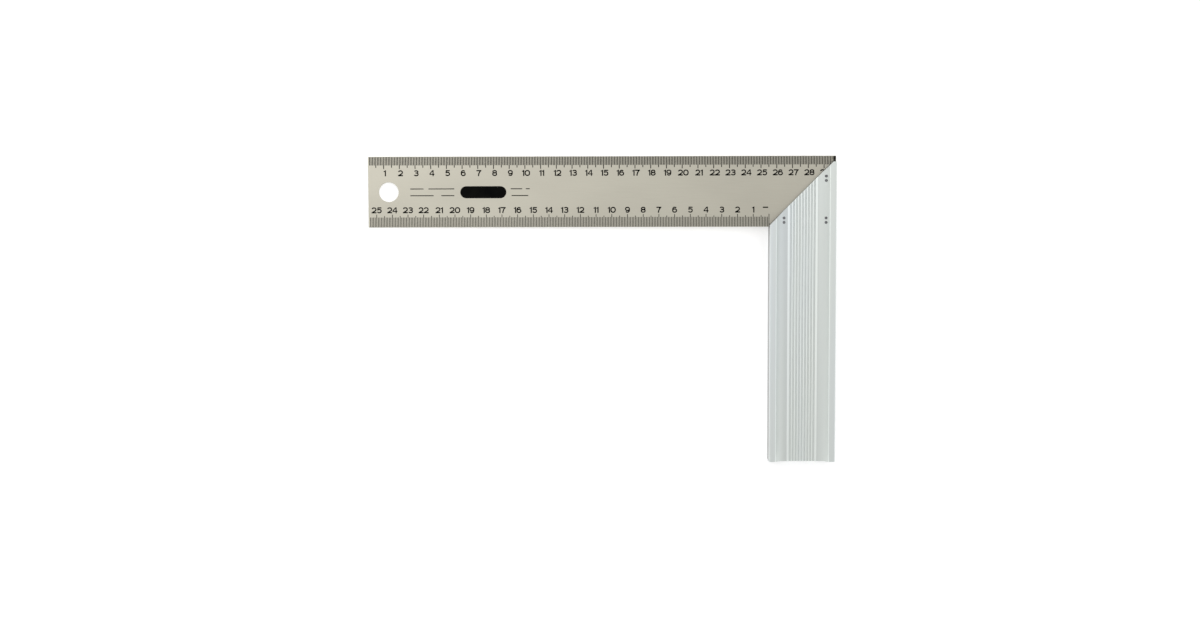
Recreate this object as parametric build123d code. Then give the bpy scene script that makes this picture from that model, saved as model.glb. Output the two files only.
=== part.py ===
"""Carpenter's try square: a graduated steel blade let into the mitred end of a reeded aluminium stock.

The origin is the inside corner of the square, in the middle of the blade's thickness.
+X runs across the stock to its outer face, +Y runs across the blade to its outer edge, and +Z is the front.
The stock is an extrusion along Y, so it has the same section from its foot up to the mitre.
"""
from build123d import *
import os

# Blade: a plain steel strip that ends flush with the outer face of the stock.
blade_reach = 255.2
blade_width = 45.0
blade_thickness = 1.1
blade_edge_break = 0.1
hanging_hole_radius = 6.25
hanging_hole_from_end = 13.1

# Stock: the outer size, the saw slot for the blade, and the mitre that starts just above the inside corner.
stock_width = 42.4
stock_length = 150.2
stock_half_thickness = 8.0
slot_width = 1.2
slot_depth_below_blade = 0.4
mitre_rise = 1.2
tip_height = 41.4

# Stock section: a flange at each side, a small step, a cove, and a reeded web in the middle.
outer_edge_radius = 0.8
flange_width = 4.5
flange_edge_radius = 0.4
step_width = 0.4
step_drop = 0.7
web_half_thickness = 4.3
end_ridge_width = 1.0
groove_count = 9
groove_pitch = 1.88
groove_width = 1.15
groove_depth = 0.4

# Drive pins: three pairs across the joint, each pin sunk a little below both coves.
pin_radius = 0.9
pin_end_chamfer = 0.2
pin_gap_in_stock = 0.01
pin_gap_in_blade = 0.05
pin_half_spacing = 1.4
pin_pairs = {
    "inner": (9.3, 4.3, 8.2),
    "outer": (35.8, 4.3, 10.0),
    "tip": (35.8, 30.8, 10.0),
}
pin_rows = {"upper": pin_half_spacing, "lower": -pin_half_spacing}

hole_run = 4 * stock_half_thickness
middle_x = stock_width / 2


def pin_places():
    """Yield each pin's name, its centre in X and Y, and its length."""
    for pair, (x, y, length) in pin_pairs.items():
        for row, offset in pin_rows.items():
            yield f"{pair}_pin_{row}", (x, y + offset), length


def pin_holes(radius):
    """Round cutters along Z at the six pins."""
    return [Pos(x, y, 0) * Cylinder(radius, hole_run) for _, (x, y), _ in pin_places()]


def groove(centre_x):
    """One shallow round groove between two ridges of the web, from ridge edge to ridge edge."""
    left = (centre_x - groove_width / 2, web_half_thickness)
    bottom = (centre_x, web_half_thickness - groove_depth)
    right = (centre_x + groove_width / 2, web_half_thickness)
    return ThreePointArc(left, bottom, right)


def front_outline():
    """The front half of the stock's section, from the inner face to the outer face, as joined edges."""
    top = stock_half_thickness
    inner_side = Line((0, 0), (0, top - outer_edge_radius))
    edge_round = TangentArc((0, top - outer_edge_radius), (outer_edge_radius, top), tangent=(0, 1))
    flange_end = (flange_width - flange_edge_radius, top)
    flange = Line((outer_edge_radius, top), flange_end)
    step_top = (flange_width, top - flange_edge_radius)
    flange_round = TangentArc(flange_end, step_top, tangent=(1, 0))
    cove_start = (flange_width + step_width, top - step_drop)
    step = Line(step_top, cove_start)

    first_groove_x = middle_x - groove_pitch * (groove_count - 1) / 2
    reeds_start = first_groove_x - groove_width / 2
    cove_end = (reeds_start - end_ridge_width, web_half_thickness)
    cove = TangentArc(cove_end, cove_start, tangent=(-1, 0))
    end_ridge = Line(cove_end, (reeds_start, web_half_thickness))

    side = [inner_side, edge_round, flange, flange_round, step, cove, end_ridge]
    other_side = [edge.mirror(Plane.YZ.offset(middle_x)) for edge in side]
    grooves = [groove(first_groove_x + i * groove_pitch) for i in range(groove_count)]
    between = groove_pitch - groove_width
    ridge_starts = [first_groove_x + groove_width / 2 + i * groove_pitch for i in range(groove_count - 1)]
    ridges = [Line((x, web_half_thickness), (x + between, web_half_thickness)) for x in ridge_starts]
    return side + grooves + ridges + other_side


def make_stock():
    """Extrude the section, cut the mitre and the saw slot, and drill for the pins."""
    front = front_outline()
    back = [edge.mirror(Plane.XZ) for edge in front]
    section = make_face(front + back)
    bar_length = stock_length + tip_height
    bar = extrude(Plane.XZ.offset(-tip_height) * section, bar_length)

    past = stock_width
    low, high = mitre_rise - past, mitre_rise + past
    above_mitre = Polyline((-past, low), (past, high), (-past, high), close=True)
    mitre_cut = extrude(make_face(above_mitre), hole_run / 2, both=True)
    slot_size = (2 * past, tip_height + slot_depth_below_blade + past, slot_width)
    slot_place = Pos(middle_x, -slot_depth_below_blade, 0)
    slot = slot_place * Box(*slot_size, align=(Align.CENTER, Align.MIN, Align.CENTER))
    return bar - mitre_cut - slot - pin_holes(pin_radius + pin_gap_in_stock)


def make_blade():
    """The flat strip with its edges broken, its hanging hole and the holes that the pins pass through."""
    length = blade_reach + stock_width
    blank = Box(length, blade_width, blade_thickness, align=(Align.MAX, Align.MIN, Align.CENTER))
    blade = Pos(stock_width, 0, 0) * blank
    flat_edges = blade.edges().group_by(Axis.Z)
    blade = chamfer(flat_edges[0] + flat_edges[-1], blade_edge_break)
    hole_place = Pos(hanging_hole_from_end - blade_reach, blade_width / 2, 0)
    blade -= hole_place * Cylinder(hanging_hole_radius, hole_run)
    return blade - pin_holes(pin_radius + pin_gap_in_blade)


def make_pin(place, length):
    """A straight pin along Z with chamfered ends."""
    pin = Cylinder(pin_radius, length)
    pin = chamfer(pin.edges().filter_by(GeomType.CIRCLE), pin_end_chamfer)
    return Pos(place[0], place[1], 0) * pin


os.makedirs("parts", exist_ok=True)
export_step(make_blade(), "parts/blade.step")
export_step(make_stock(), "parts/stock.step")
for name, place, length in pin_places():
    export_step(make_pin(place, length), f"parts/{name}.step")
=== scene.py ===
"""The looks of the try square: an etched and filled steel blade, a reeded aluminium stock and its pins.

Lengths in the outlines are in millimetres, in the CAD frame, and become metres when a mesh is made.
"""
import math

import bpy
from mathutils import Matrix, Vector
from mathutils.geometry import delaunay_2d_cdt


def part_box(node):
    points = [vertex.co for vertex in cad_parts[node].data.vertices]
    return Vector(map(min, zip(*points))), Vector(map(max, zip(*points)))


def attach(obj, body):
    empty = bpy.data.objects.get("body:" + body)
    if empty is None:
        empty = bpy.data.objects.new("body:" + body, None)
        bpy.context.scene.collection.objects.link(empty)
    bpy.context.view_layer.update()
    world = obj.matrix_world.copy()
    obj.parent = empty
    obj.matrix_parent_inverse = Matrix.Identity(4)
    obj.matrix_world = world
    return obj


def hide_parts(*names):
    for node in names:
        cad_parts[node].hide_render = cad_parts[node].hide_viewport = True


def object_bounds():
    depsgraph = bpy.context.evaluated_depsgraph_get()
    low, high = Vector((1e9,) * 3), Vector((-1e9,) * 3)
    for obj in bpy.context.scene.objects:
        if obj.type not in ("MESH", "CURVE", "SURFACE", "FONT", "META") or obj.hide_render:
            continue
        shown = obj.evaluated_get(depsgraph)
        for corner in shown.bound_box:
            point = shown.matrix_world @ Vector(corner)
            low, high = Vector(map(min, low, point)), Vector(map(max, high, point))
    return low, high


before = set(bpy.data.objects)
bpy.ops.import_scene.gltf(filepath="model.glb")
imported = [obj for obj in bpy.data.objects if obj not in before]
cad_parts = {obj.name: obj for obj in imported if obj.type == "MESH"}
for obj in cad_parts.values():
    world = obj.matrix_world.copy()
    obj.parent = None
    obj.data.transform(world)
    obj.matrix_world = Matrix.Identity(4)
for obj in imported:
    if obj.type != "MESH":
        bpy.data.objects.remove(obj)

MM = 0.001
sharp_angle = math.radians(30)
cad_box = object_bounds()
blade_low, blade_high = (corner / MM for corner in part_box("blade"))
stock_low, stock_high = (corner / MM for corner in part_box("stock"))

# Blade: its edges, its hole and the depth of the etching and of the black fill in it.
blade_edge_break = 0.1
hole_radius = 6.25
hole_from_end = 13.1
hole_centre = Vector((blade_low.x + hole_from_end, (blade_low.y + blade_high.y) / 2))
hole_steps = 96
etch_depth = 0.06
fill_drop = 0.02

# Scales: one tick each millimetre, longer at each fifth and tenth.
tick_edge_gap = 0.14
outer_tick_width = 0.54
outer_tick_lengths = {1: 5.5, 5: 7.0, 10: 7.8}
outer_number_base = blade_high.y - 12.4
outer_number_shift = 0.7
inner_tick_width = 0.44
inner_tick_lengths = {1: 6.4, 5: 7.3, 10: 8.2}
inner_number_base = blade_low.y + 9.05

# The thick black mark at the blade's outer corner, partly the last ticks run together and partly painted
# shade at the corner by the stock's tip, and two corners of the dash before the inner scale's "1".
end_mark_and_painted_shade_width = 1.3
inner_dash = (-3.95, 12.0, -0.55, 12.8)

# Label: a panel and two rows of bars. A bar is its start and end from the blade's free end, and its row.
label_middle = (blade_low.y + blade_high.y) / 2 - 0.15
panel_start = 58.7
panel_end = 88.1
panel_half = 3.85
bar_row_rise = 2.15
bar_half = 0.28
label_bars = (
    (26.8, 35.3, 1), (38.4, 54.9, 1), (26.8, 41.7, -1), (46.6, 54.9, -1),
    (90.9, 98.2, 1), (100.5, 103.0, 1), (91.4, 102.0, -1),
)

# Numerals: a wide plain face, drawn with lines and slightly squared arcs of one thickness.
digit_width = 3.15
digit_height = 3.85
digit_stroke = 0.78
zero_width = 3.5
one_width = 1.5
digit_gap = 0.18
arc_squareness = 0.87

# Stock: the same section as the CAD model, with the sawn ends' edges broken.
mitre_rise = 1.2
slot_half = 0.6
slot_floor = -0.4
sawn_edge_break = 0.15
outer_edge_radius = 0.8
flange_width = 4.5
flange_edge_radius = 0.4
step_width = 0.4
step_drop = 0.7
web_half = 4.3
end_ridge_width = 1.0
groove_count = 9
groove_pitch = 1.88
groove_width = 1.15
groove_depth = 0.4
tolerance = 0.01
pin_hole_radius = 0.91
pin_hole_steps = 40
pin_names = [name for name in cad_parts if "_pin_" in name]

# The stock's finishes, numbered as its material slots: for the flanges; the flat sides and the sawn ends,
# both darkened partly as painted shade; the coves and grooves, darkened as painted shade; and the lands and
# the flanges' inner edges, lightened as a painted highlight.
DRAWN, MILLED_WITH_PAINTED_SHADE, SAWN_WITH_PAINTED_SHADE, DULL_WITH_PAINTED_SHADE, PAINTED_HIGHLIGHT = range(5)

# Camera, in metres: it looks down on the blade, a little from beyond its outer edge.
camera_distance = 1.3
view_width = 0.768
camera_lean = math.radians(-5.0)
camera_turn = math.radians(0.86)
camera_roll = math.radians(0.16)
framing_shift = Vector((-0.0013, -0.0037, 0))

# Table, lamp and sky, in metres. The square lies on the table on its stock's inner back edge and its blade's
# free end. The lamp's place is in the table's axes, from the point that the camera looks at. The sky's tone
# goes by the cosine of the angle from its axis: the first tone is for 0 and below, the last one for 1.
table_reach = 4
table_gap = 0.00005
table_glow = 0.38
lamp_place = Vector((-0.45, 0.3, 1.75))
lamp_size = 0.5
lamp_power = 1.4
sky_axis = (0, -0.8, 0.6)
sky_inner_stops = (0.42, 0.85)
sky_tones = (0.74, 0.84, 0.30, 0.44)
sky_strength = 1.38


# ---------------------------------------------------------------- outlines

def rectangle(x0, y0, x1, y1):
    return [Vector((x0, y0)), Vector((x1, y0)), Vector((x1, y1)), Vector((x0, y1))]


def arc(centre, radii, start, end, steps=14):
    """Points on a slightly squared ellipse between two angles in degrees."""
    points = []
    for i in range(steps + 1):
        angle = math.radians(start + (end - start) * i / steps)
        c, s = math.cos(angle), math.sin(angle)
        x = centre[0] + radii[0] * math.copysign(abs(c) ** arc_squareness, c)
        y = centre[1] + radii[1] * math.copysign(abs(s) ** arc_squareness, s)
        points.append(Vector((x, y)))
    return points


def bend(start, control, end, steps=10):
    """Points on a quadratic curve."""
    a, b, c = Vector(start), Vector(control), Vector(end)
    return [a.lerp(b, i / steps).lerp(b.lerp(c, i / steps), i / steps) for i in range(steps + 1)]


def offset_sides(path, width, closed):
    """The two lines at half the width on each side of a path."""
    left, right = [], []
    last = len(path) - 1
    for i, point in enumerate(path):
        before = path[i - 1] if closed or i > 0 else point
        after = path[(i + 1) % len(path)] if closed or i < last else point
        along = (after - before).normalized()
        across = Vector((-along.y, along.x)) * (width / 2)
        left.append(point + across)
        right.append(point - across)
    return left, right


def line_shape(path, width=digit_stroke):
    """A filled shape that follows an open path."""
    left, right = offset_sides(path, width, closed=False)
    return (right + left[::-1], None)


def ring_shape(centre, radii, width=digit_stroke):
    """A closed ring, as its outer outline and the hole in it."""
    path = arc(centre, radii, 0, 360, steps=36)[:-1]
    inside, outside = offset_sides(path, width, closed=True)
    return (outside, inside)


def bar_shape(x0, y0, x1, y1):
    return (rectangle(x0, y0, x1, y1), None)


def polygon_shape(*points):
    return ([Vector(point) for point in points], None)


def moved_shape(shape, corner, way=1):
    """The shape moved to a corner, or turned half round when the way is -1."""
    return tuple(loop and [corner + point * way for point in loop] for loop in shape)


# ---------------------------------------------------------------- numerals

def digit_shapes(digit):
    """The shapes of one numeral, from its lower left corner, and its width."""
    w, h, s = digit_width, digit_height, digit_stroke
    left, right, low, high = s / 2, w - s / 2, s / 2, h - s / 2
    mid_x, mid_y, reach = w / 2, h / 2, (w - s) / 2
    if digit == "0":
        return [ring_shape((zero_width / 2, mid_y), ((zero_width - s) / 2, high - mid_y))], zero_width
    if digit == "1":
        bar = one_width - s
        flag = [(bar, 0), (one_width, 0), (one_width, h), (one_width - 0.55, h)]
        flag += [(bar - 0.06, h - 0.4), (0, h - 0.62), (0, h - 1.16), (bar, h - 1.08)]
        return [polygon_shape(*flag)], one_width
    if digit == "2":
        bowl = arc((mid_x, high - 1.05), (reach, 1.05), 168, -38)
        return [line_shape(bowl + [Vector((left + 0.1, low + 0.1))]), bar_shape(0, 0, w, s)], w
    if digit == "3":
        waist = low + 1.66
        upper_radius, lower_radius = (high - waist) / 2, (waist - low) / 2
        upper = arc((mid_x, waist + upper_radius), (reach * 0.92, upper_radius), 160, -90)
        lower = arc((mid_x, waist - lower_radius), (reach, lower_radius), 90, -162)
        middle = [Vector((mid_x - 0.5, waist)), Vector((mid_x + 0.1, waist))]
        return [line_shape(upper), line_shape(lower), line_shape(middle)], w
    if digit == "4":
        slope = polygon_shape((0, 1.2), (0, 1.62), (1.9, h), (2.68, h), (0.62, 1.4), (0.45, 1.2))
        return [bar_shape(0, 0.88, w + 0.05, 1.52), bar_shape(1.98, 0, 2.68, h), slope], w
    if digit == "5":
        bowl = arc((mid_x, low + 1.03), (reach, 1.03), 148, -160)
        neck = polygon_shape((0.48, h), (1.15, h), (0.98, 2.12), (0.26, 1.78))
        return [line_shape(bowl), neck, bar_shape(0.6, h - s, w - 0.15, h)], w
    if digit in "69":
        bowl = ring_shape((mid_x, low + 0.99), (reach, 0.99))
        back = line_shape(arc((mid_x, mid_y), (reach, high - mid_y), 192, 38))
        if digit == "6":
            return [bowl, back], w
        return [moved_shape(shape, Vector((w, h)), -1) for shape in (bowl, back)], w
    if digit == "7":
        return [bar_shape(0, h - s, w, h), line_shape(bend((w - s * 0.55, high), (1.45, 2.2), (1.25, 0)))], w
    upper = ring_shape((mid_x, high - 0.75), (reach * 0.9, 0.75))
    lower = ring_shape((mid_x, low + 0.88), (reach, 0.88))
    return [upper, lower], w


def number_shapes(number, centre_x, base_y):
    """The shapes of a whole number, centred on a tick."""
    digits = [digit_shapes(digit) for digit in str(number)]
    x = centre_x - (sum(width for _, width in digits) + digit_gap * (len(digits) - 1)) / 2
    placed = []
    for shapes, width in digits:
        placed += [moved_shape(shape, Vector((x, base_y))) for shape in shapes]
        x += width + digit_gap
    return placed


# ---------------------------------------------------------------- marks

def tick_length(count, lengths):
    for step in (10, 5):
        if count % step == 0:
            return lengths[step]
    return lengths[1]


def scale_marks():
    """Every tick and number. The outer scale starts at the blade's free end, the inner one at the stock."""
    marks = []
    half = outer_tick_width / 2
    for count in range(1, int(blade_high.x - blade_low.x)):
        x = blade_low.x + count
        foot = blade_high.y - tick_length(count, outer_tick_lengths)
        marks.append(bar_shape(x - half, foot, x + half, blade_high.y - tick_edge_gap))
        if count % 10 == 0:
            marks += number_shapes(count // 10, x + outer_number_shift, outer_number_base)
    # The end mark: partly the last ticks run together, partly painted shade at the blade's outer corner.
    end_x, end_y = blade_high.x - tick_edge_gap, blade_high.y - tick_edge_gap
    end_mark_and_painted_shade_low = blade_high.y - outer_tick_lengths[1]
    marks.append(bar_shape(blade_high.x - end_mark_and_painted_shade_width, end_mark_and_painted_shade_low, end_x, end_y))
    half = inner_tick_width / 2
    for count in range(int(-blade_low.x)):
        top = blade_low.y + tick_length(count, inner_tick_lengths)
        marks.append(bar_shape(-count - half, blade_low.y + tick_edge_gap, -count + half, top))
        if count and count % 10 == 0:
            marks += number_shapes(count // 10, -count, inner_number_base)
    marks.append(bar_shape(*inner_dash))
    return marks


def label_marks():
    """A plain round-ended panel and the short plain bars beside it."""
    right_end = Vector((blade_low.x + panel_end - panel_half, label_middle))
    left_end = Vector((blade_low.x + panel_start + panel_half, label_middle))
    panel = []
    for centre, first_angle in ((right_end, -90), (left_end, 90)):
        for i in range(19):
            angle = math.radians(first_angle + 10 * i)
            panel.append(centre + Vector((math.cos(angle), math.sin(angle))) * panel_half)
    marks = [(panel, None)]
    for start, end, row in label_bars:
        y = label_middle + bar_row_rise * row
        marks.append(bar_shape(blade_low.x + start, y - bar_half, blade_low.x + end, y + bar_half))
    return marks


# ---------------------------------------------------------------- meshes

def make_object(name, vertices, faces, unit=MM):
    """A mesh object, smooth except at its sharp edges."""
    mesh = bpy.data.meshes.new(name)
    mesh.from_pydata([Vector(v) * unit for v in vertices], [], faces)
    mesh.polygons.foreach_set("use_smooth", [True] * len(mesh.polygons))
    mesh.set_sharp_from_angle(angle=sharp_angle)
    mesh.validate()
    thing = bpy.data.objects.new(name, mesh)
    bpy.context.scene.collection.objects.link(thing)
    return thing


def cut_face(outline, hole, marks):
    """Triangulates the blade's face. Returns its points and the triangles of bare metal and of the marks."""
    points, loops, roles = [], [], []
    shapes = [("face", outline), ("gap", hole)]
    for number, (outer, inner) in enumerate(marks):
        shapes.append((number, outer))
        if inner:
            shapes.append((-1 - number, inner))
    for role, loop in shapes:
        turning = sum(a.cross(b) for a, b in zip(loop, loop[1:] + loop[:1]))
        loop = loop if turning > 0 else loop[::-1]
        loops.append(list(range(len(points), len(points) + len(loop))))
        points += loop
        roles.append(role)
    inside_only, weld_distance = 1, 1e-5
    cut = delaunay_2d_cdt(points, [], loops, inside_only, weld_distance)
    out_points, _, triangles, _, _, owners = cut
    metal, ink = [], []
    for triangle, owner in zip(triangles, owners):
        held = {roles[i] for i in owner}
        if "gap" in held:
            continue
        numbers = {role for role in held if isinstance(role, int)}
        filled = any(n >= 0 and -1 - n not in numbers for n in numbers)
        (ink if filled else metal).append(triangle)
    return out_points, metal, ink


def open_edges(triangles):
    """The directed edges that only one triangle uses."""
    edges = {(t[i], t[(i + 1) % len(t)]) for t in triangles for i in range(len(t))}
    return [(a, b) for a, b in sorted(edges) if (b, a) not in edges]


def make_blade(points, metal, ink, back):
    """The blade, with every mark sunk into its front, broken edges and its hole."""
    top = blade_high.z
    corner_x = {False: blade_low.x, True: blade_high.x}
    corner_y = {False: blade_low.y, True: blade_high.y}
    middle = (blade_low + blade_high) / 2
    vertices, faces, found = [], [], {}

    def vertex(point, z):
        key = (round(point[0], 4), round(point[1], 4), round(z, 4))
        if key not in found:
            found[key] = len(vertices)
            vertices.append((point[0], point[1], z))
        return found[key]

    def pushed_out(point):
        from_hole = Vector(point) - hole_centre
        if from_hole.length < hole_radius + 2 * blade_edge_break:
            return hole_centre + from_hole.normalized() * hole_radius
        return Vector((corner_x[point[0] > middle.x], corner_y[point[1] > middle.y]))

    for triangle in metal:
        faces.append([vertex(points[i], top) for i in triangle])
    for triangle in ink:
        faces.append([vertex(points[i], top - etch_depth) for i in triangle])
    for a, b in open_edges(ink):
        corners = ((b, top - etch_depth), (a, top - etch_depth), (a, top), (b, top))
        faces.append([vertex(points[i], z) for i, z in corners])
    ink_sides = set(open_edges(ink))
    for a, b in open_edges(metal):
        if (b, a) in ink_sides:
            continue
        levels = (top, top - blade_edge_break, blade_edge_break - top, -top)
        for z0, z1 in zip(levels, levels[1:]):
            ends = []
            for point, z in ((a, z0), (a, z1), (b, z1), (b, z0)):
                place = points[point] if abs(z) == top else pushed_out(points[point])
                ends.append(vertex(place, z))
            faces.append(ends)
    back_points, back_triangles = back
    for triangle in back_triangles:
        faces.append([vertex(back_points[i], -top) for i in reversed(triangle)])
    return make_object("etched_blade", vertices, faces)


def make_fill(points, ink):
    """The black fill: one thin closed slab in each etched mark, a little below the steel's surface."""
    high, low = blade_high.z - fill_drop, blade_high.z - etch_depth
    used = sorted({i for triangle in ink for i in triangle})
    upper = {index: number for number, index in enumerate(used)}
    lower = {index: number + len(used) for number, index in enumerate(used)}
    vertices = [(*points[i], high) for i in used] + [(*points[i], low) for i in used]
    faces = [[upper[i] for i in triangle] for triangle in ink]
    faces += [[lower[i] for i in reversed(triangle)] for triangle in ink]
    faces += [[upper[b], upper[a], lower[a], lower[b]] for a, b in open_edges(ink)]
    return make_object("scale_fill", vertices, faces)


def section_points():
    """The front and the back half of the stock's section, clockwise from the slot on the inner side."""
    width, top = stock_high.x, stock_high.z
    centre = width / 2

    def round_corner(middle, radius, start, end, steps=6):
        return [(middle[0] + radius * math.cos(math.radians(start + (end - start) * i / steps)),
                 middle[1] + radius * math.sin(math.radians(start + (end - start) * i / steps)))
                for i in range(steps + 1)]

    side = [(0, slot_half)]
    side += round_corner((outer_edge_radius, top - outer_edge_radius), outer_edge_radius, 180, 90)
    flange_edge = (flange_width - flange_edge_radius, top - flange_edge_radius)
    side += round_corner(flange_edge, flange_edge_radius, 90, 0)
    cove_start = (flange_width + step_width, top - step_drop)
    first_groove = centre - groove_pitch * (groove_count - 1) / 2
    reeds_start = first_groove - groove_width / 2
    cove_end_x = reeds_start - end_ridge_width
    run, rise = cove_end_x - cove_start[0], cove_start[1] - web_half
    cove_radius = (run * run + rise * rise) / (2 * rise)
    sweep = math.degrees(math.asin(run / cove_radius))
    side += round_corner((cove_end_x, web_half + cove_radius), cove_radius, 270 - sweep, 270, steps=20)
    reeds = []
    groove_radius = ((groove_width / 2) ** 2 + groove_depth ** 2) / (2 * groove_depth)
    half_sweep = math.degrees(math.asin(groove_width / 2 / groove_radius))
    for i in range(groove_count):
        middle = (first_groove + i * groove_pitch, web_half - groove_depth + groove_radius)
        reeds += round_corner(middle, groove_radius, 270 - half_sweep, 270 + half_sweep, steps=8)
    other_side = [(width - x, z) for x, z in reversed(side)]
    front = side + reeds + other_side
    crease_x = stock_high.y - mitre_rise
    crease = next(i for i, (x, z) in enumerate(front) if x > crease_x and z > top - tolerance)
    front.insert(crease, (crease_x, top))
    return front, [(x, -z) for x, z in reversed(front)]


def inset(loop, distance):
    """The loop moved inwards by a distance, corner by corner. The loop runs clockwise."""
    moved = []
    for i, point in enumerate(loop):
        p, before, after = Vector(point), Vector(loop[i - 1]), Vector(loop[(i + 1) % len(loop)])
        one, two = (p - before).normalized(), (after - p).normalized()
        normal = Vector((one.y + two.y, -one.x - two.x)).normalized()
        facing = max(0.5, normal.dot(Vector((one.y, -one.x))))
        moved.append(tuple(p + normal * distance / facing))
    return moved


def make_stock():
    """The extruded bar in millimetres, with its mitre, blunt tip, saw slot and broken sawn edges."""
    front, back = section_points()
    loop = front + back
    size = len(loop)
    drawn_in = inset(loop, sawn_edge_break)
    foot, tip = stock_low.y, stock_high.y
    crease_x = tip - mitre_rise
    crease_front = front.index((crease_x, stock_high.z))
    crease_back = size - 1 - crease_front
    vertices, faces, finishes = [], [], []

    def row(points, height):
        start = len(vertices)
        vertices.extend((x, height(x), z) for x, z in points)
        return start

    def below_end(x):
        return min(x + mitre_rise - sawn_edge_break * math.sqrt(2), tip - sawn_edge_break)

    foot_row = row(drawn_in, lambda x: foot)
    low_row = row(loop, lambda x: foot + sawn_edge_break)
    high_row = row(loop, below_end)
    end_row = row(drawn_in, lambda x: min(x + mitre_rise, tip))
    inner_front, outer_front, outer_back, inner_back = 0, len(front) - 1, len(front), size - 1
    slot_gaps = ((outer_front, outer_back), (inner_back, inner_front))
    notch = {}
    for corner in (inner_front, outer_front, outer_back, inner_back):
        notch[corner] = len(vertices)
        vertices.append((loop[corner][0], slot_floor, loop[corner][1]))

    def finish(one, two):
        """The finish of the strip between two points of the section, with painted shade in the coves and
        grooves and a painted highlight on the lands and the flanges' inner edges.
        """
        if one[0] == two[0] and one[0] in (0, stock_high.x):
            return MILLED_WITH_PAINTED_SHADE
        across = (one[0] + two[0]) / 2
        past_flange = min(across, stock_high.x - across) - flange_width
        if past_flange < 0:
            return PAINTED_HIGHLIGHT if past_flange > -flange_edge_radius else DRAWN
        depth = abs(one[1] + two[1]) / 2 - web_half
        return DULL_WITH_PAINTED_SHADE if abs(depth) > tolerance else PAINTED_HIGHLIGHT

    def band(lower, upper):
        """The strips between two rows of points, open where the saw slot runs out through the sides."""
        for i in range(size):
            j = (i + 1) % size
            if (i, j) in slot_gaps and upper == end_row:
                continue
            if (i, j) in slot_gaps and upper == high_row:
                face = [lower + i, lower + j, notch[j], notch[i]]
            elif upper == high_row:
                rise = [notch[i]] if i in notch else []
                fall = [notch[j]] if j in notch else []
                face = [lower + i, lower + j, *fall, upper + j, upper + i, *rise]
            else:
                face = [lower + i, lower + j, upper + j, upper + i]
            faces.append(face)
            finishes.append(finish(loop[i], loop[j]))

    band(foot_row, low_row)
    band(low_row, high_row)
    band(high_row, end_row)
    faces.append([foot_row + i for i in reversed(range(size))])
    for first, crease, last, side in ((inner_front, crease_front, outer_front, 1),
                                      (outer_back, crease_back, inner_back, -1)):
        lip_corner = len(vertices)
        vertices.append((crease_x, tip, side * slot_half))
        crown = [end_row + i for i in range(first, last + 1)]
        split = crease - first
        if side > 0:
            mitre, flat = crown[:split + 1] + [lip_corner], crown[split:] + [lip_corner]
        else:
            flat, mitre = crown[:split + 1] + [lip_corner], crown[split:] + [lip_corner]
        near, far = ([notch[i], high_row + i, end_row + i] for i in (first, last))
        faces.extend([mitre, flat, near + [lip_corner] + far[::-1]])
    faces.append([notch[i] for i in (outer_front, outer_back, inner_back, inner_front)])
    finishes += [SAWN_WITH_PAINTED_SHADE] * (len(faces) - len(finishes))
    stock = make_object("reeded_stock", vertices, faces, unit=1)
    stock.data.polygons.foreach_set("material_index", finishes)
    return stock


def drill_pin_holes(stock):
    """Cuts the round holes for the pins through both sides of the slot, and brings the bar to metres."""
    vertices, faces = [], []
    steps = pin_hole_steps
    for name in pin_names:
        low, high = (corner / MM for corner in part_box(name))
        centre = (low + high) / 2
        start = len(vertices)
        for z in (stock_low.z - 1, stock_high.z + 1):
            for i in range(steps):
                angle = 2 * math.pi * i / steps
                vertices.append((centre.x + pin_hole_radius * math.cos(angle),
                                 centre.y + pin_hole_radius * math.sin(angle), z))
        ring = [start + i for i in range(steps)]
        faces.append(ring[::-1])
        faces.append([i + steps for i in ring])
        faces += [[a, b, b + steps, a + steps] for a, b in zip(ring, ring[1:] + ring[:1])]
    cutter = make_object("pin_hole_cutter", vertices, faces, unit=1)
    cut = stock.modifiers.new("pin holes", "BOOLEAN")
    cut.object, cut.operation, cut.solver = cutter, "DIFFERENCE", "EXACT"
    bpy.context.view_layer.update()
    drilled = bpy.data.meshes.new_from_object(stock.evaluated_get(bpy.context.evaluated_depsgraph_get()))
    stock.modifiers.clear()
    stock.data = drilled
    drilled.transform(Matrix.Scale(MM, 4))
    drilled.set_sharp_from_angle(angle=sharp_angle)
    bpy.data.objects.remove(cutter)


# ---------------------------------------------------------------- materials

def new_material(name, colour, metallic, roughness):
    """A material, its node tree and its shader."""
    material = bpy.data.materials.new(name)
    material.use_nodes = True
    shader = material.node_tree.nodes["Principled BSDF"]
    shader.inputs["Base Color"].default_value = (*colour, 1)
    shader.inputs["Metallic"].default_value = metallic
    shader.inputs["Roughness"].default_value = roughness
    return material, material.node_tree, shader


def stretched_noise(tree, stretch, detail=3.0, roughness=0.55):
    """Noise in object space, with its own number of grains a metre along each axis."""
    place = tree.nodes.new("ShaderNodeTexCoord")
    scale = tree.nodes.new("ShaderNodeMapping")
    scale.inputs["Scale"].default_value = stretch
    noise = tree.nodes.new("ShaderNodeTexNoise")
    noise.inputs["Scale"].default_value = 1.0
    noise.inputs["Detail"].default_value = detail
    noise.inputs["Roughness"].default_value = roughness
    tree.links.new(place.outputs["Object"], scale.inputs["Vector"])
    tree.links.new(scale.outputs["Vector"], noise.inputs["Vector"])
    return noise.outputs["Fac"]


def spread(tree, value, low, high, out_low, out_high):
    """Stretches a value from one range to another."""
    node = tree.nodes.new("ShaderNodeMapRange")
    for socket, number in (("From Min", low), ("From Max", high), ("To Min", out_low), ("To Max", out_high)):
        node.inputs[socket].default_value = number
    tree.links.new(value, node.inputs["Value"])
    return node.outputs["Result"]


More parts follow.
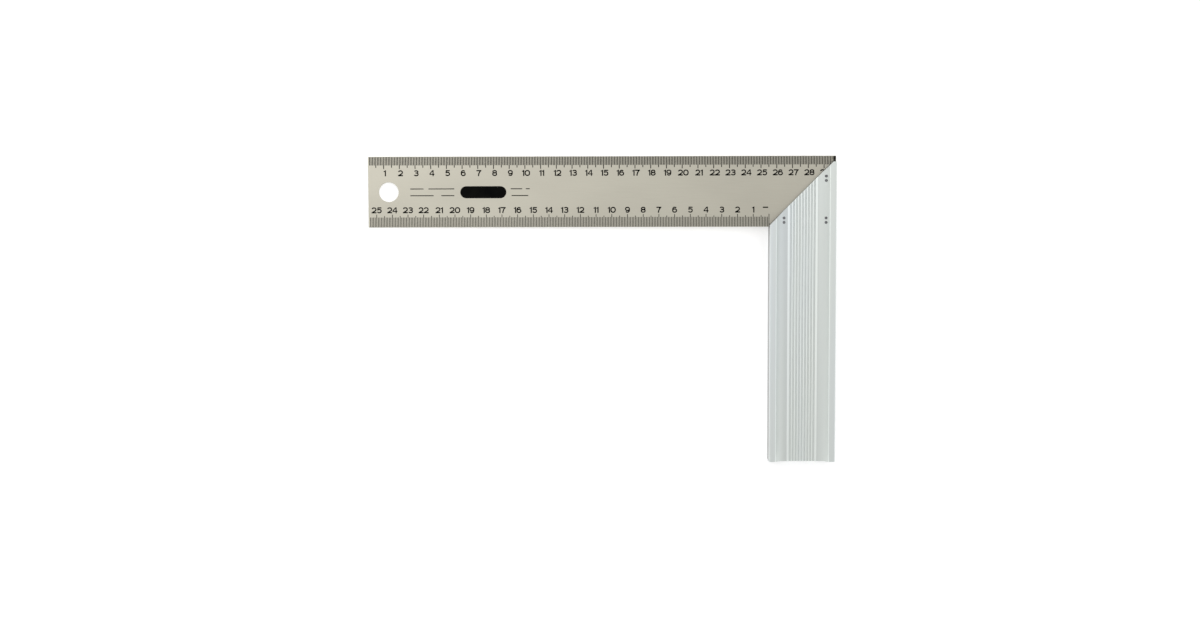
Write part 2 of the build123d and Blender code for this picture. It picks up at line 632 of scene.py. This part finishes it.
def between(tree, value, dark, light):
    """A colour that goes from dark to light as the value goes from 0 to 1."""
    ramp = tree.nodes.new("ShaderNodeValToRGB")
    ramp.color_ramp.elements[0].color = (*dark, 1)
    ramp.color_ramp.elements[1].color = (*light, 1)
    tree.links.new(value, ramp.inputs["Fac"])
    return ramp.outputs["Color"]


def tinted(tree, first, second):
    """Two colours multiplied."""
    mix = tree.nodes.new("ShaderNodeMix")
    mix.data_type, mix.blend_type = "RGBA", "MULTIPLY"
    mix.inputs["Factor"].default_value = 1.0
    tree.links.new(first, mix.inputs["A"])
    tree.links.new(second, mix.inputs["B"])
    return mix.outputs["Result"]


def add_bump(tree, shader, height, strength, distance):
    """Fine relief from a height, in metres."""
    bump = tree.nodes.new("ShaderNodeBump")
    bump.inputs["Strength"].default_value = strength
    bump.inputs["Distance"].default_value = distance
    tree.links.new(height, bump.inputs["Height"])
    tree.links.new(bump.outputs["Normal"], shader.inputs["Normal"])


def brushed_steel():
    """Satin stainless steel, brushed along the blade, with a faint warm and cool mottle."""
    material, tree, shader = new_material("satin stainless steel", (0.56, 0.54, 0.48), 1.0, 0.38)
    brush = stretched_noise(tree, (60, 5200, 5200), detail=4.0, roughness=0.6)
    mottle = stretched_noise(tree, (14, 26, 14), detail=2.0)
    streaks = between(tree, spread(tree, brush, 0.3, 0.7, 0, 1), (0.93, 0.93, 0.93), (1, 1, 1))
    tone = between(tree, spread(tree, mottle, 0.35, 0.65, 0, 1), (0.52, 0.497, 0.421), (0.553, 0.53, 0.448))
    tree.links.new(tinted(tree, tone, streaks), shader.inputs["Base Color"])
    tree.links.new(spread(tree, brush, 0.25, 0.75, 0.30, 0.40), shader.inputs["Roughness"])
    add_bump(tree, shader, brush, 0.12, 0.00002)
    return material


def drawn_aluminium(name, tone, roughness):
    """Extruded aluminium with fine die lines along its length, and a faint cool and warm tint. A lower tone
    makes a copy with painted shade, a higher one a copy with a painted highlight.
    """
    cool, warm = [tone * c for c in (0.97, 1.03, 1.05)], [tone * c for c in (1.0, 1.05, 1.01)]
    material, tree, shader = new_material(name, cool, 1.0, roughness)
    lines = stretched_noise(tree, (1500, 0, 1500), detail=2.0, roughness=0.6)
    clouds = stretched_noise(tree, (45, 3, 45), detail=2.0)
    streaks = between(tree, spread(tree, lines, 0.3, 0.7, 0, 1), (0.96, 0.96, 0.965), (1, 1, 1))
    tint = between(tree, spread(tree, clouds, 0.35, 0.65, 0, 1), cool, warm)
    tree.links.new(tinted(tree, tint, streaks), shader.inputs["Base Color"])
    low, high = roughness - 0.05, roughness + 0.05
    tree.links.new(spread(tree, lines, 0.25, 0.75, low, high), shader.inputs["Roughness"])
    add_bump(tree, shader, lines, 0.1, 0.00002)
    return material


def cut_aluminium(name, dark, light):
    """Aluminium with fine tool lines along its length and across its ends. Its dark and light tones are set
    low, partly as painted shade.
    """
    material, tree, shader = new_material(name, [light] * 3, 1.0, 0.45)
    cuts = stretched_noise(tree, (500, 500, 5200), detail=3.0, roughness=0.6)
    tone = between(tree, spread(tree, cuts, 0.3, 0.7, 0, 1), [dark] * 3, [light] * 3)
    tree.links.new(tone, shader.inputs["Base Color"])
    tree.links.new(spread(tree, cuts, 0.25, 0.75, 0.38, 0.55), shader.inputs["Roughness"])
    add_bump(tree, shader, cuts, 0.2, 0.00004)
    return material


def black_fill():
    """Matt black enamel in the etching, a little uneven."""
    material, tree, shader = new_material("black scale fill", (0.02, 0.02, 0.02), 0.0, 0.6)
    shader.inputs["Specular IOR Level"].default_value = 0.03
    grain = stretched_noise(tree, (1800, 1800, 1800), detail=3.0)
    patches = stretched_noise(tree, (120, 120, 120), detail=2.0)
    tone = between(tree, spread(tree, patches, 0.3, 0.7, 0, 1), (0.002, 0.002, 0.002), (0.005, 0.005, 0.004))
    tree.links.new(tone, shader.inputs["Base Color"])
    tree.links.new(spread(tree, grain, 0.3, 0.7, 0.5, 0.75), shader.inputs["Roughness"])
    add_bump(tree, shader, grain, 0.2, 0.00001)
    return material


def pin_steel():
    """Dull cut ends of steel wire, much darker than the blade's steel, partly as painted shade in their
    recessed holes.
    """
    material, tree, shader = new_material("dull pin steel with painted shade", (0.24, 0.24, 0.25), 1.0, 0.45)
    grain = stretched_noise(tree, (2500, 2500, 2500), detail=3.0)
    tone = between(tree, spread(tree, grain, 0.3, 0.7, 0, 1), (0.16, 0.16, 0.17), (0.30, 0.30, 0.31))
    tree.links.new(tone, shader.inputs["Base Color"])
    tree.links.new(spread(tree, grain, 0.3, 0.7, 0.38, 0.55), shader.inputs["Roughness"])
    add_bump(tree, shader, grain, 0.25, 0.00003)
    return material


# ---------------------------------------------------------------- build

edge = blade_edge_break
face_outline = rectangle(blade_low.x + edge, blade_low.y + edge, blade_high.x - edge, blade_high.y - edge)
hole_rim = [hole_centre + Vector((math.cos(a), math.sin(a))) * (hole_radius + edge)
            for a in (2 * math.pi * i / hole_steps for i in range(hole_steps))]
face_points, metal_triangles, ink_triangles = cut_face(face_outline, hole_rim, scale_marks() + label_marks())
back_points, back_triangles, _ = cut_face(face_outline, hole_rim, [])

blade = make_blade(face_points, metal_triangles, ink_triangles, (back_points, back_triangles))
blade.data.materials.append(brushed_steel())
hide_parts("blade")
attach(blade, "root")

fill = make_fill(face_points, ink_triangles)
fill.data.materials.append(black_fill())
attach(fill, "root")

stock = make_stock()
stock_finishes = {
    DRAWN: drawn_aluminium("drawn aluminium", 0.76, 0.42),
    # The flat sides take tones far below the flanges': a milled finish, and partly painted shade along the
    # sides.
    MILLED_WITH_PAINTED_SHADE: cut_aluminium("milled aluminium of the sides with painted shade", 0.33, 0.46),
    # The sawn ends are the darkest: a rough sawn finish, and partly painted shade in the mitre joint and at
    # the tip.
    SAWN_WITH_PAINTED_SHADE: cut_aluminium("sawn aluminium of the ends with painted shade", 0.19, 0.31),
    # The coves and grooves take a darker tone than the flanges: painted shade in the hollows.
    DULL_WITH_PAINTED_SHADE: drawn_aluminium("dull aluminium of the coves and grooves with painted shade", 0.68, 0.48),
    # The lands and the flanges' inner edges take a lighter tone than the flanges: a painted highlight.
    PAINTED_HIGHLIGHT: drawn_aluminium("aluminium of the lands with a painted highlight", 0.95, 0.36),
}
for number in sorted(stock_finishes):
    stock.data.materials.append(stock_finishes[number])
drill_pin_holes(stock)
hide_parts("stock")
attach(stock, "root")

# The pins' ends are much darker than bare steel, partly as painted shade in their holes.
steel = pin_steel()
for name in pin_names:
    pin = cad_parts[name].data
    pin.materials.clear()
    pin.materials.append(steel)


# ---------------------------------------------------------------- table, light and camera

tilt = math.atan2(stock_high.z - blade_high.z, -blade_low.x)
up = Vector((math.sin(tilt), 0, math.cos(tilt)))
across = Vector((math.cos(tilt), 0, -math.sin(tilt)))
table_axes = Matrix((across, Vector((0, 1, 0)), up)).transposed().to_4x4()
table_height = Vector((0, 0, stock_low.z * MM)).dot(up) - table_gap
low, high = (Vector(corner) for corner in cad_box)
aim = (low + high) / 2 + framing_shift

table_mesh = bpy.data.meshes.new("table")
table_corners = [(x * table_reach, y * table_reach, 0) for x, y in ((-1, -1), (1, -1), (1, 1), (-1, 1))]
table_mesh.from_pydata(table_corners, [], [(0, 1, 2, 3)])
table = bpy.data.objects.new("table", table_mesh)
bpy.context.scene.collection.objects.link(table)
table.matrix_world = Matrix.Translation(up * table_height) @ table_axes
light_table, _, table_shader = new_material("pale light table", (0.94, 0.94, 0.94), 0.0, 0.8)
table_shader.inputs["Emission Color"].default_value = (1, 1, 1, 1)
table_shader.inputs["Emission Strength"].default_value = table_glow
table_mesh.materials.append(light_table)

lamp = bpy.data.lights.new("overhead_left", "AREA")
lamp.shape, lamp.size, lamp.energy = "SQUARE", lamp_size, lamp_power
lamp_holder = bpy.data.objects.new("overhead_left", lamp)
bpy.context.scene.collection.objects.link(lamp_holder)
lamp_offset = table_axes.to_3x3() @ lamp_place
facing_object = lamp_offset.to_track_quat("Z", "Y").to_matrix().to_4x4()
lamp_holder.matrix_world = Matrix.Translation(aim + lamp_offset) @ facing_object

world = bpy.data.worlds.new("studio")
world.use_nodes = True
sky = world.node_tree
direction = sky.nodes.new("ShaderNodeTexCoord")
towards_axis = sky.nodes.new("ShaderNodeVectorMath")
towards_axis.operation = "DOT_PRODUCT"
towards_axis.inputs[1].default_value = sky_axis
sky.links.new(direction.outputs["Generated"], towards_axis.inputs[0])
ramp = sky.nodes.new("ShaderNodeValToRGB")
for place in sky_inner_stops:
    ramp.color_ramp.elements.new(place)
for stop, tone in zip(ramp.color_ramp.elements, sky_tones):
    stop.color = (tone, tone, tone, 1)
sky.links.new(towards_axis.outputs["Value"], ramp.inputs["Fac"])
sky.links.new(ramp.outputs["Color"], sky.nodes["Background"].inputs["Color"])
sky.nodes["Background"].inputs["Strength"].default_value = sky_strength
bpy.context.scene.world = world
bpy.context.scene.view_settings.view_transform = "Standard"

lens = bpy.data.cameras.new("camera")
lens.sensor_width = 36
lens.lens = lens.sensor_width * camera_distance / view_width
lens.clip_start, lens.clip_end = 0.01, 20
camera = bpy.data.objects.new("camera", lens)
bpy.context.scene.collection.objects.link(camera)
turned = Matrix.Rotation(camera_turn, 4, "Y") @ Matrix.Rotation(camera_lean, 4, "X")
turned = turned @ Matrix.Rotation(-camera_roll, 4, "Z")
camera.matrix_world = Matrix.Translation(aim) @ turned @ Matrix.Translation((0, 0, camera_distance))
bpy.context.scene.camera = camera
